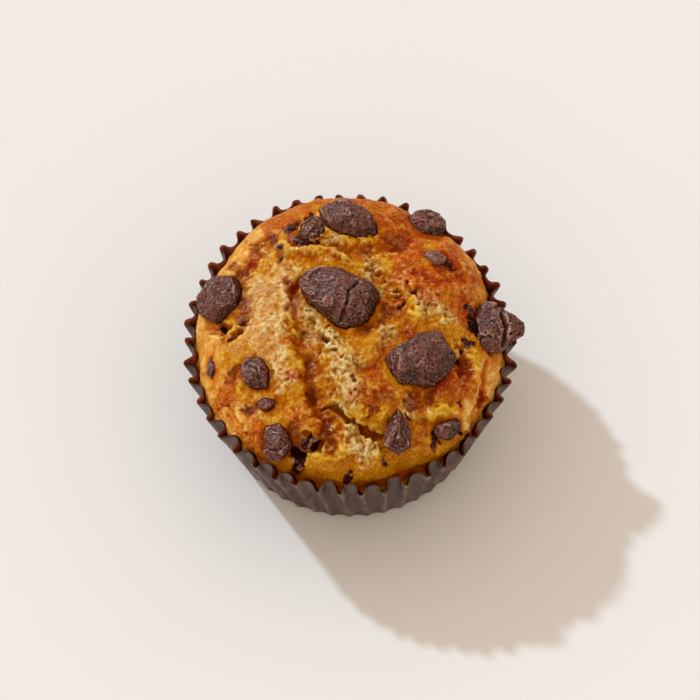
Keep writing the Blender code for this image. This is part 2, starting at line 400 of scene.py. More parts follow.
class MUFFIN_OT_liner(bpy.types.Operator):
    """Folds the paper liner: a fluted wall on a flat base"""

    bl_idname = "muffin.liner"
    bl_label = "Paper liner"

    def execute(self, context):
        sizes = context.scene.muffin_sizes
        colours = context.scene.muffin_colours
        around = sizes.flutes * POINTS_PER_FLUTE
        deselect_all()
        bpy.ops.mesh.primitive_cylinder_add(
            vertices=around, radius=sizes.base_radius, depth=sizes.liner_height,
            end_fill_type="NOTHING", location=(0.0, 0.0, 0.5 * sizes.liner_height))
        liner = context.object
        liner.name = "folded_paper_liner"
        bpy.ops.object.transform_apply(location=True, rotation=True, scale=True)
        mesh = liner.data
        bpy.ops.object.mode_set(mode="EDIT")
        bpy.ops.mesh.select_mode(type="EDGE")
        bpy.ops.mesh.select_all(action="DESELECT")
        bpy.ops.object.mode_set(mode="OBJECT")
        for edge in mesh.edges:
            foot, head = (mesh.vertices[i].co.z for i in edge.vertices)
            edge.select = abs(head - foot) > 1.0 * MM
        bpy.ops.object.mode_set(mode="EDIT")
        bpy.ops.mesh.subdivide(number_cuts=WALL_ROWS)
        bpy.ops.object.mode_set(mode="OBJECT")

        points = read_points(mesh)
        dice = np.random.default_rng(UNEVEN_SEED)
        uneven = {name: dice.uniform(-1.0, 1.0, sizes.flutes) for name in UNEVENNESS}
        angle = np.arctan2(points[:, 1], points[:, 0]) % math.tau
        rise = points[:, 2] / sizes.liner_height
        radius, turned, height, wave = flute_wall(sizes, angle, rise, uneven)
        crumple = rough_field(points * np.array([1.0, 1.0, 0.5]), CRUMPLE_SIZE, 2, 3.1)
        radius = radius + CRUMPLE_DEPTH * crumple * smooth_step(0.2, 1.0, rise)
        points = np.column_stack((radius * np.cos(turned), radius * np.sin(turned), height))
        write_points(mesh, points)
        # Where each point lies on its flute, for the painted highlight on its crest and painted
        # shade in its folds.
        write_mask(mesh, "crest_light_fold_shade", wave)

        bpy.ops.object.mode_set(mode="EDIT")
        bpy.ops.mesh.select_all(action="DESELECT")
        bpy.ops.object.mode_set(mode="OBJECT")
        low = points[:, 2] < 0.01 * MM
        for edge in mesh.edges:
            edge.select = bool(low[edge.vertices[0]] and low[edge.vertices[1]])
        bpy.ops.object.mode_set(mode="EDIT")
        for shrink in (0.93, 0.7, 0.4):
            bpy.ops.mesh.extrude_edges_move()
            bpy.ops.transform.resize(value=(shrink, shrink, 1.0),
                                     center_override=(0.0, 0.0, 0.0))
        bpy.ops.mesh.merge(type="COLLAPSE")
        bpy.ops.mesh.select_all(action="SELECT")
        bpy.ops.mesh.normals_make_consistent(inside=False)
        bpy.ops.object.mode_set(mode="OBJECT")

        mesh.materials.append(coated_paper(
            "dyed_greaseproof_paper_outside", colours.paper_outside, 0.42,
            hex_colour("#7C5A48"), 0.0))
        # Inside face: painted glow of light shining through the paper, on paper stained by baking.
        mesh.materials.append(coated_paper(
            "stained_paper_inside_with_painted_glow", colours.paper_inside, 0.5,
            hex_colour("#B66C48"), 0.05))
        apply_modifier(liner, "SOLIDIFY", thickness=sizes.paper, offset=-1.0,
                       use_even_offset=False, material_offset=1, material_offset_rim=0)
        mesh.shade_smooth()
        finish_piece(liner, "paper_liner")
        return {"FINISHED"}


# ---------------------------------------------------------------------------
# Chocolate
# ---------------------------------------------------------------------------

# Broken faces of a piece: facing direction, then where the break lies as a share of the reach
BREAKS = {
    "chunk_centre": ((-0.30, 0.20, 1.0, 0.78), (0.50, -0.35, 1.0, 0.80), (0.15, -0.9, 0.7, 0.78),
                     (0.9, -0.35, 0.6, 0.80), (-0.55, -0.8, 0.5, 0.82), (0.5, 0.8, 0.6, 0.84)),
    "chunk_right": ((-0.20, 0.45, 1.0, 0.80), (0.10, -1.0, 0.55, 0.72), (0.85, -0.5, 0.6, 0.80),
                    (-0.9, -0.2, 0.7, 0.84)),
    "chunk_left": ((-0.10, 0.10, 1.0, 0.84), (-0.75, -0.15, 0.7, 0.84), (0.35, -0.8, 0.55, 0.84),
                   (0.85, 0.25, 0.5, 0.84)),
    "chunk_back": ((0.25, -0.15, 1.0, 0.80), (-0.55, 0.35, 1.0, 0.82), (0.30, -0.95, 0.6, 0.80),
                   (0.95, 0.1, 0.5, 0.82)),
    "chunk_rim_right": ((-0.45, 0.25, 1.0, 0.78), (0.55, -0.2, 1.0, 0.76), (-0.2, -0.9, 0.7, 0.80),
                        (1.0, -0.1, 0.0, 0.84)),
    "chunk_left_small": ((-0.35, 0.25, 1.0, 0.76), (0.55, -0.35, 0.9, 0.76),
                         (-0.1, -0.9, 0.5, 0.80)),
    "chunk_front": ((-0.75, 0.2, 0.8, 0.66), (0.75, -0.1, 0.8, 0.72), (0.1, -0.9, 0.6, 0.80)),
    "chunk_front_left": ((-0.35, 0.15, 1.0, 0.76), (0.6, -0.4, 0.9, 0.76)),
}
BREAKS_ELSEWHERE = ((0.3, 0.3, 1.0, 0.80), (-0.5, -0.4, 0.9, 0.80), (0.6, -0.6, 0.6, 0.82))

# How rough a piece is baked, against the usual 1
ROUGH_PIECES = {"chip_button": 0.25, "chip_left": 0.5, "chip_far_left": 0.3, "chunk_crumbled": 2.0,
                "chunk_rim_right": 1.5}
CHIP_DETAIL = 0.18 * MM
FACET_SIZE = 3.6 * MM
BLOOM_SIZE = 3.33 * MM           # redder patches under the bloom
GRIT_SIZE = 0.435 * MM           # sugar grains and fat beads, drawn coarse enough to be seen

# Splits in a piece, in millimetres: depth, half width, then the course in plan
SPLITS = {
    "chunk_centre": (0.6, 0.35, ((1.6, 7.8), (-0.6, 5.0), (-0.6, 2.6), (-2.2, -1.0))),
    "chunk_rim_right": (1.2, 0.45, ((33.6, 8.0), (33.0, 4.2), (34.2, 1.0), (33.4, -3.0))),
    "chunk_front": (0.5, 0.30, ((9.8, -21.0), (10.4, -25.0), (9.2, -28.0))),
    "chunk_left_small": (0.5, 0.30, ((-23.0, -9.4), (-20.6, -11.4), (-19.6, -14.6))),
}


def dark_chocolate(colours):
    """Dark chocolate, poured and broken, then baked: dry and pitted, with a few melted fat beads
    and sugar grains that glint. Its crowns are painted lighter, and its pits and the sides that
    face down or away from the light are painted darker, as painted light and shade."""
    material, tree, shader = new_material("baked_dark_chocolate")
    place = add_node(tree, "ShaderNodeTexCoord")
    spot = place.outputs["Object"]
    painted_chocolate_shading = add_node(tree, "ShaderNodeAttribute", {"attribute_name": "painted_chocolate_shading"})
    patches = add_node(tree, "ShaderNodeTexNoise", {"Scale": 1.0 / BLOOM_SIZE, "Detail": 4.0,
                                                    "Roughness": 0.6}, {"Vector": spot})
    rubble = add_node(tree, "ShaderNodeTexNoise", {"Scale": 1.0 / GRIT_SIZE, "Detail": 3.0,
                                                   "Roughness": 0.6}, {"Vector": spot})
    redness = add_node(tree, "ShaderNodeMapRange", {"From Min": 0.45, "From Max": 0.70},
                       {"Value": patches.outputs["Fac"]})
    body = add_node(tree, "ShaderNodeMix", {"data_type": "RGBA", 6: (*colours.chocolate, 1.0),
                                            7: (*hex_colour("#824838"), 1.0)},
                    {0: redness.outputs["Result"]})
    # Painted light and shade: the relief mask makes crowns lighter and pits and shaded sides darker.
    level = add_node(tree, "ShaderNodeMath", {"operation": "MULTIPLY_ADD", 1: 0.55},
                     {0: rubble.outputs["Fac"], 2: painted_chocolate_shading.outputs["Fac"]})
    depth = add_node(tree, "ShaderNodeMapRange",
                     {"From Min": 0.46, "From Max": 1.12, "To Min": 2.2, "To Max": 0.58},
                     {"Value": level.outputs["Value"]})
    shade = add_node(tree, "ShaderNodeGamma", {},
                     {"Color": body.outputs[2], "Gamma": depth.outputs["Result"]})
    tree.links.new(shade.outputs["Color"], shader.inputs["Base Color"])
    beads = add_node(tree, "ShaderNodeMapRange",
                     {"From Min": 0.51, "From Max": 0.60, "To Min": 0.56, "To Max": 0.20},
                     {"Value": rubble.outputs["Fac"]})
    tree.links.new(beads.outputs["Result"], shader.inputs["Roughness"])
    shine = add_node(tree, "ShaderNodeMapRange",
                     {"From Min": 0.51, "From Max": 0.60, "To Min": 0.20, "To Max": 1.0},
                     {"Value": rubble.outputs["Fac"]})
    tree.links.new(shine.outputs["Result"], shader.inputs["Specular IOR Level"])
    bump = add_node(tree, "ShaderNodeBump", {"Strength": 0.9, "Distance": 0.22 * MM},
                    {"Height": rubble.outputs["Fac"]})
    tree.links.new(bump.outputs["Normal"], shader.inputs["Normal"])
    shader.inputs["IOR"].default_value = 1.5
    return material


def chocolate_piece(node_name, detail, material):
    """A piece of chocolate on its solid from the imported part, broken and weathered by baking."""
    source = frame["nodes"][node_name]
    mesh = source.data.copy()
    mesh.materials.clear()
    piece = bpy.data.objects.new("baked_" + node_name, mesh)
    bpy.context.scene.collection.objects.link(piece)
    make_active(piece)
    bpy.ops.object.mode_set(mode="EDIT")
    bpy.ops.mesh.select_all(action="SELECT")
    bpy.ops.mesh.remove_doubles(threshold=1e-6)
    bpy.ops.object.mode_set(mode="OBJECT")
    apply_modifier(piece, "REMESH", mode="VOXEL", voxel_size=detail, adaptivity=0.0)
    apply_modifier(piece, "SMOOTH", factor=0.6, iterations=3)
    mesh = piece.data
    points = read_points(mesh)
    middle = points.mean(axis=0)
    for *facing, share in BREAKS.get(node_name, BREAKS_ELSEWHERE):
        facing = np.array(facing) / np.linalg.norm(facing)
        reach = (points - middle) @ facing
        over = np.maximum(reach - share * reach.max(), 0.0)
        points = points - 0.85 * over[:, None] * facing
    write_points(mesh, points)
    normals = read_normals(mesh)
    seed = float(sum(map(ord, node_name)) % 97)
    rough = ROUGH_PIECES.get(node_name, 1.0)
    shape = rough_field(points, 4.0 * MM, 2, seed)
    rubble = rough_field(points, 1.4 * MM, 3, seed + 5.0)
    pitting = rough_field(points, 0.7 * MM, 2, seed + 9.0)
    pits = smooth_step(0.22, 0.50, pitting) * smooth_step(0.0, 0.5, rubble + 0.25)
    facets = facet_field(points + 0.5 * MM * rubble[:, None], FACET_SIZE, seed)
    lift = 0.25 * shape + rough * (0.12 * rubble + 0.07 * pitting - 0.35 * pits)
    lift = lift + 0.9 * min(rough, 1.2) * facets
    if node_name in SPLITS:
        depth, half_width, course = SPLITS[node_name]
        plan = points[:, :2] / MM + 0.25 * np.column_stack((rubble, pitting))
        away = distance_to_course(plan, course) / half_width
        upward = np.clip(normals[:, 2], 0.0, 1.0)
        lift = lift - depth * upward * np.exp(-away * away)
    points = points + normals * (lift * MM)[:, None]
    write_points(mesh, points)
    normals = read_normals(mesh)
    # Painted light and shade: crowns lighter, pits darker, and sides that face down or away from the
    # light darker.
    painted_chocolate_shading = stand_proud(mesh, points, normals, 10) / (0.40 * MM)
    side = 1.0 - np.clip(1.25 * normals[:, 2] + 0.15 - 0.45 * normals[:, 0], 0.0, 1.0)
    fresh = 0.10 if node_name == "chip_button" else 0.0
    write_mask(mesh, "painted_chocolate_shading", 0.55 + fresh + 0.5 * painted_chocolate_shading - 0.30 * side)
    mesh.materials.append(material)
    mesh.shade_smooth()
    finish_piece(piece, node_name)


class MUFFIN_OT_chocolate(bpy.types.Operator):
    """Weathers each piece of chocolate that lies in the crumb"""

    bl_idname = "muffin.chocolate"
    bl_label = "Dark chocolate"

    def execute(self, context):
        material = dark_chocolate(context.scene.muffin_colours)
        detail = context.scene.muffin_sizes.chocolate_detail
        for name in sorted(frame["nodes"]):
            if name.startswith(("chunk_", "chip_")):
                is_chunk = name.startswith("chunk_")
                chocolate_piece(name, detail if is_chunk else CHIP_DETAIL, material)
        return {"FINISHED"}


# ---------------------------------------------------------------------------
# Crumb
# ---------------------------------------------------------------------------

GRID_CELLS = 298
SIDE_ROWS = 4
PROFILE_STEPS = 400
DOME_FULLNESS = 2.4
SHOULDER_HEIGHT = 24.0 * MM      # where the dome meets its fluted side
SIDE_FOOT = 1.2 * MM
SIDE_GAP = 0.7 * MM              # between the fluted side and the folds
PAPER_GAP = 0.35 * MM            # least gap between the crumb and the paper
POCKET_GAP = 0.2 * MM            # between the crumb and a piece of chocolate
PAINTED_SHADOW_REACH = 3.0 * MM           # how far the painted shadow round the chocolate reaches
SHADED_WAY = (0.75, -0.66)       # in plan, the way the light travels
FLECK_SIZE = 3.03 * MM           # flecks of crust that browned unevenly
GRAIN_SIZE = 0.435 * MM          # crumb grains and sugar
PORE_SIZE = 0.909 * MM

# Swellings and sunken places of the dome, in millimetres: x, y, reach, rise
DOME_RELIEF = (
    (-20.0, -3.0, 9.0, 1.3),
    (19.0, 8.0, 10.0, 1.6),
    (4.0, -14.0, 6.0, 1.0),
    (-9.0, 17.0, 8.0, 0.8),
    (25.0, -16.0, 6.0, 0.8),
    (-10.0, -3.0, 4.5, -1.6),
    (8.5, 8.5, 4.5, -1.4),
    (-6.0, -16.0, 3.5, -1.8),
    (-2.0, -21.0, 3.0, -2.4),
    (2.5, -24.5, 3.0, -2.4),
    (7.5, -27.0, 2.5, -1.6),
    (29.0, 1.5, 5.0, -1.6),
)

# Where the crumb has drawn in from the paper: angle and half width in degrees, then millimetres
DRAWN_IN = ((-90.0, 58.0, 1.3), (-64.0, 12.0, 0.7), (-20.0, 24.0, 0.4), (150.0, 14.0, 0.3),
            (12.0, 13.0, 2.0), (32.0, 20.0, 1.0), (118.0, 24.0, -0.3), (-138.0, 18.0, -0.7))

# Where the edge of the dome has risen over the rim: angle and half width in degrees, millimetres
RISEN = ((98.0, 38.0, 3.5), (38.0, 18.0, 1.8), (58.0, 9.0, -2.6), (-90.0, 50.0, -0.9),
         (-66.0, 14.0, -0.7), (-138.0, 18.0, 0.8))

# Furrows where the crust tore as it rose, in millimetres: depth, half width, then the course
FURROWS = (
    (0.4, 1.6, ((-12.1, 7.4), (-11.3, 1.5), (-10.4, -4.0))),
    (1.7, 2.5, ((-9.0, -8.0), (-8.6, -12.0), (-7.6, -16.5), (-5.8, -20.5), (-5.0, -24.5))),
    (2.2, 0.6, ((-5.0, -18.6), (-1.2, -21.8), (2.5, -23.6), (6.8, -25.4))),
    (1.0, 1.8, ((-1.0, 17.8), (3.8, 14.3), (7.3, 9.7), (10.4, 4.7), (11.7, 0.3))),
    (0.7, 1.4, ((-17.5, 22.6), (-21.2, 18.3), (-22.8, 14.8), (-23.2, 10.5))),
    (0.7, 1.8, ((11.0, -3.0), (7.5, -7.6), (4.7, -10.6), (1.0, -12.8))),
    (1.0, 0.7, ((30.2, -6.0), (29.9, -11.1), (28.4, -16.0))),
    (1.1, 1.6, ((-4.0, 18.8), (3.0, 18.0), (9.5, 19.2))),
    (1.5, 1.0, ((24.4, -4.0), (25.2, -6.7), (23.7, -9.7))),
    (0.7, 0.9, ((-27.5, -17.0), (-24.0, -23.5))),
    (0.6, 1.2, ((13.5, -16.5), (16.5, -20.0), (15.2, -25.5))),
    (0.7, 0.9, ((-30.5, 2.0), (-26.5, -2.5), (-23.0, 1.0))),
    (0.5, 1.2, ((14.5, 12.0), (19.5, 9.5), (23.5, 11.5))),
)

# Crests between the furrows, in millimetres: height, half width, then the course
CRESTS = (
    (0.9, 2.6, ((-15.6, -1.0), (-14.4, -7.5), (-13.0, -13.3), (-11.0, -18.0), (-9.2, -22.5))),
    (1.3, 1.1, ((-14.0, 18.5), (-10.2, 17.4), (-6.4, 17.7), (-1.5, 16.2))),
    (1.2, 2.6, ((-4.0, -4.0), (-1.5, -9.0), (0.5, -15.0), (1.5, -20.0))),
    (1.0, 1.2, ((-3.0, -28.4), (0.9, -27.3), (4.8, -28.9))),
    (1.1, 1.1, ((27.3, -9.0), (26.8, -14.0), (25.0, -18.5))),
    (1.0, 1.0, ((17.5, -20.6), (20.0, -19.4), (22.6, -19.4), (25.0, -21.0))),
    (0.9, 1.3, ((12.8, 6.0), (14.5, 2.5), (13.0, -0.5))),
    (0.8, 1.4, ((5.0, -16.5), (8.0, -18.5), (7.0, -21.0))),
)

# Holes in the crumb, in millimetres: x, y, radius, depth
HOLES = (
    (-7.3, -27.3, 1.3, 2.4),
    (-11.9, -28.7, 1.5, 2.0),
    (-28.8, 0.6, 1.3, 1.6),
    (-25.6, -1.4, 1.2, 1.6),
    (-24.3, 1.2, 0.8, 1.2),
    (9.3, 8.5, 0.6, 1.2),
    (13.0, 7.2, 0.8, 1.6),
    (-5.4, -4.2, 0.8, 1.4),
    (-9.4, -24.8, 0.9, 1.4),
    (-12.4, 8.0, 0.9, 1.2),
    (9.7, 6.8, 0.7, 1.4),
    (10.4, 4.0, 0.9, 1.6),
    (8.2, 10.4, 0.5, 0.9),
    (-8.2, 0.4, 0.8, 1.2),
    (-6.0, -2.6, 0.6, 0.9),
    (-15.7, 17.2, 1.6, 1.4),
    (23.6, -7.6, 0.9, 1.8),
    (12.2, 10.6, 0.5, 1.0),
    (-4.6, -0.6, 0.5, 1.0),
    (6.4, 12.6, 0.6, 1.1),
    (14.6, 3.4, 0.6, 1.0),
    (-1.8, -8.4, 0.5, 0.9),
    (0.4, -14.4, 0.5, 0.9),
)

# Places of each kind of surface, in millimetres: x, y, reach
OPEN_PLACES = (
    (4.0, 12.6, 3.2), (6.6, 7.6, 2.6), (16.8, 4.2, 3.6), (21.0, 1.8, 2.4), (-8.6, 1.2, 3.0),
    (-7.0, -2.4, 3.2), (-3.6, -5.5, 3.8), (-1.6, -11.0, 4.0), (0.2, -16.5, 3.6),
    (-10.0, -3.0, 2.4), (-2.5, -19.5, 2.2), (2.8, -27.0, 3.2), (-0.6, -24.0, 2.2),
    (8.0, -3.6, 2.4), (0.5, -9.6, 2.6), (-4.2, 21.2, 2.4), (12.6, -19.6, 2.2), (-15.2, 17.2, 2.2),
)
GRAINY_PLACES = (
    (-19.5, 7.5, 6.0), (-19.0, 0.0, 6.5), (-15.5, 11.5, 4.5), (-17.5, -8.5, 5.0),
    (-14.0, 4.0, 4.0), (-14.6, -13.5, 3.4), (-20.0, -18.0, 3.0), (7.2, -5.0, 1.8),
)
BROWN_PLACES = (
    (17.0, 10.0, 7.0), (12.0, 18.5, 6.0), (24.0, 5.0, 4.5), (24.5, 14.0, 5.5), (10.5, 27.5, 6.0),
    (2.5, -17.2, 2.6), (-10.4, -20.4, 3.4), (-12.2, -13.0, 2.2), (-13.4, -5.0, 2.0),
    (21.5, -13.5, 4.2), (25.5, -11.0, 3.6), (14.0, -3.6, 2.0), (12.0, 12.0, 3.2),
    (17.0, 24.0, 5.0), (-12.6, 8.5, 1.6), (-22.5, 15.5, 2.2), (-25.3, -12.0, 2.4),
    (-16.0, 27.0, 4.0), (-20.0, -24.0, 4.2), (-9.0, 26.8, 3.2), (5.0, -13.5, 2.6), (6.8, -17.0, 3.2),
    (-27.0, -14.5, 3.2), (2.0, 33.0, 5.0), (-12.0, 31.0, 4.0), (-6.8, -22.4, 2.8), (8.0, 32.0, 5.0),
    (28.0, -14.0, 3.0), (21.5, 20.0, 4.0), (-6.0, 33.0, 4.0),
)
SCORCHED_PLACES = (
    (-9.0, 17.4, 2.6), (-4.0, 17.0, 2.2), (9.8, 5.0, 1.6), (12.4, -1.8, 1.8), (-12.0, 20.4, 2.4),
    (-13.0, 25.0, 2.6), (-13.3, 5.5, 1.3), (2.4, -17.8, 1.2), (-9.4, -18.6, 1.5),
    (13.4, 21.5, 2.2), (21.5, 12.6, 1.8), (25.0, -13.0, 1.8),
)
# Amber patches, partly painted shade: set in valleys and where the chocolate shades the crumb.
AMBER_PAINTED_SHADE_PLACES = (
    (-12.2, 9.4, 1.8), (-12.4, 6.2, 1.8), (-23.4, 5.4, 2.8), (-25.6, -10.2, 2.2),
    (-8.6, -9.6, 2.4), (-8.8, -12.6, 2.6), (-8.0, -16.4, 2.4), (-6.0, -19.8, 2.2), (-5.6, -4.0, 1.3),
    (7.0, -18.6, 2.8), (4.0, -20.6, 2.0), (7.8, 0.6, 2.2), (-4.4, -23.4, 1.8), (-4.2, -26.6, 1.8),
    (-13.0, 3.4, 2.0), (-17.2, 20.6, 2.2), (-24.4, 1.8, 2.6),
    (-5.4, -24.4, 2.6), (3.0, -2.0, 2.2), (6.4, -0.8, 2.4), (8.6, 2.4, 2.2), (13.0, 7.4, 2.2),
    (-11.5, -26.0, 2.6), (-24.0, 15.0, 2.6), (-20.6, 19.6, 2.2), (20.5, 15.0, 3.0),
    (9.8, 21.0, 3.4), (13.6, -18.4, 2.4), (17.0, -16.6, 2.2), (-12.6, -24.0, 2.4), (4.0, 17.0, 1.8),
    (24.6, -8.0, 2.0), (-22.0, -19.0, 2.0),
)
SMEAR_PLACES = (
    (-12.6, 24.0, 2.2), (-9.6, 20.6, 2.1), (-6.6, 20.4, 1.0), (-15.7, 17.8, 0.9), (-7.4, 25.0, 1.4),
    (-9.4, 26.6, 1.6), (4.4, 22.2, 1.0),
    (21.0, 14.6, 1.2), (-11.6, -28.6, 2.3), (-8.4, -26.6, 1.8), (-0.6, -32.6, 0.8),
    (7.1, -30.0, 0.9), (18.0, -24.6, 1.2), (23.6, -22.0, 0.9), (-29.4, 1.2, 1.0),
    (25.6, -2.6, 1.3), (24.4, -4.8, 1.0), (23.4, -7.4, 0.9),
    (26.8, 5.4, 1.4), (26.6, 3.0, 1.4), (26.4, 0.4, 1.4), (-26.0, -2.2, 1.2), (-28.8, 0.4, 1.0),
    (10.2, 3.8, 0.8), (23.2, -17.0, 0.5), (13.0, -21.5, 0.4), (-24.6, 0.8, 0.7),
)


def dome_height(sizes, x, y):
    """Height of the dome over the table, before its fine shape."""
    share = np.minimum(1.0, np.hypot(x, y) / sizes.edge_radius)
    swell = (1.0 - share ** DOME_FULLNESS) ** 0.6
    height = sizes.edge_height + (sizes.top_height - sizes.edge_height) * swell
    edge_fade = np.clip((1.0 - share) / 0.12, 0.0, 1.0)
    for px, py, reach, rise in DOME_RELIEF:
        away = np.hypot(x / MM - px, y / MM - py) / reach
        height = height + edge_fade * rise * MM * np.exp(-away * away)
    return height


def disc_place(flat):
    """Square to disc, rings to rings: share of the way out, and angle."""
    x, y = flat[:, 0], flat[:, 1]
    wide = np.abs(x) > np.abs(y)
    out = np.where(wide, x, y)
    safe = np.where(np.abs(out) < 1e-9, 1.0, out)
    turn = np.where(wide, y / safe, x / safe) * (math.pi / 4.0)
    angle = np.where(wide, turn, math.pi / 2.0 - turn)
    angle = np.where(out < 0.0, angle + math.pi, angle)
    return np.abs(out), angle


def dome_profile(sizes):
    """Even steps along the dome's side view, from the middle out and down to the shoulder."""
    angle = np.linspace(0.0, math.pi / 2.0, PROFILE_STEPS)
    radius = sizes.edge_radius * np.sin(angle)
    share = radius / sizes.edge_radius
    height = sizes.edge_height + (sizes.top_height - sizes.edge_height) * (
        1.0 - share ** DOME_FULLNESS) ** 0.6
    radius = np.append(radius, sizes.edge_radius)
    height = np.append(height, SHOULDER_HEIGHT)
    steps = np.hypot(np.diff(radius), np.diff(height))
    return np.append(0.0, np.cumsum(steps)), radius, height


def distance_to_course(points, course):
    """Distance in plan from points to a line through the given places, in millimetres."""
    nearest = np.full(len(points), 1e9)
    for start, end in zip(course, course[1:]):
        start, end = np.array(start), np.array(end)
        along = end - start
        share = np.clip(((points - start) @ along) / (along @ along), 0.0, 1.0)
        nearest = np.minimum(nearest, np.linalg.norm(points - start - share[:, None] * along,
                                                     axis=1))
    return nearest


def place_mask(plan, places, softness=1.0):
    """1 in the middle of the nearest place, falling to 0 outside its reach."""
    mask = np.zeros(len(plan))
    for x, y, reach in places:
        away = np.hypot(plan[:, 0] - x, plan[:, 1] - y) / reach
        mask = np.maximum(mask, np.clip((1.25 - away) / (0.9 * softness), 0.0, 1.0))
    return mask


def bounding_trees(chocolate):
    """A search tree, the box and the middle of each piece of chocolate."""
    found = []
    for piece in chocolate:
        corners = read_points(piece.data)
        tree = BVHTree.FromPolygons(corners.tolist(),
                                    [tuple(p.vertices) for p in piece.data.polygons])
        found.append((tree, corners.min(axis=0), corners.max(axis=0), corners.mean(axis=0)))
    return found


def near_chocolate(points, trees, reach):
    """Distance to the nearest chocolate, up to reach, and how far each point is on the side
    of that piece away from the light: 1 on the shaded side, 0 on the lit side."""
    away = np.full(len(points), reach)
    shaded = np.zeros(len(points))
    for tree, low, high, middle in trees:
        near = np.nonzero(np.all((points >= low - reach) & (points <= high + reach), axis=1))[0]
        for i in near:
            distance = tree.find_nearest(Vector(points[i]))[3]
            if distance < away[i]:
                away[i] = distance
                side = (points[i] - middle)[:2] @ np.array(SHADED_WAY)
                shaded[i] = max(0.0, side / np.linalg.norm((points[i] - middle)[:2]))
    return away, shaded


def keep_inside_paper(points, liner, gap):
    """Draws in the crumb wherever it would come nearer than gap to the paper wall."""
    tree = BVHTree.FromPolygons(read_points(liner.data).tolist(),
                                [tuple(p.vertices) for p in liner.data.polygons])
    for i in np.nonzero(points[:, 2] < liner.dimensions.z)[0]:
        x, y, z = points[i]
        radius = math.hypot(x, y)
        if radius < 20.0 * MM:
            continue
        outward = Vector((x / radius, y / radius, 0.0))
        wall = tree.ray_cast(Vector((0.0, 0.0, z)), outward, 60.0 * MM)[3]
        if wall is not None and radius > wall - gap:
            points[i, :2] *= (wall - gap) / radius
    return points


def sink_pockets(points, trees, gap):
    """Presses the crumb down under each piece of chocolate, so none of it is inside a piece."""
    for tree, low, high, middle in trees:
        near = np.nonzero(np.all((points >= low - gap) & (points <= high + gap), axis=1))[0]
        down = -Vector((middle[0] * 0.35, middle[1] * 0.35, 0.03)).normalized()
        for i in near:
            place = Vector(points[i])
            closest, facing, _, away = tree.find_nearest(place)
            if (place - closest).dot(facing) > 0.0 and away > gap:
                continue
            start = place + down * 0.02 * MM
            last = None
            while True:
                hit = tree.ray_cast(start, down, 30.0 * MM)[0]
                if hit is None:
                    break
                last = hit
                start = hit + down * 0.02 * MM
            if last is not None:
                points[i] = last + down * gap
            elif away < gap:
                points[i] = place + down * gap
    return points


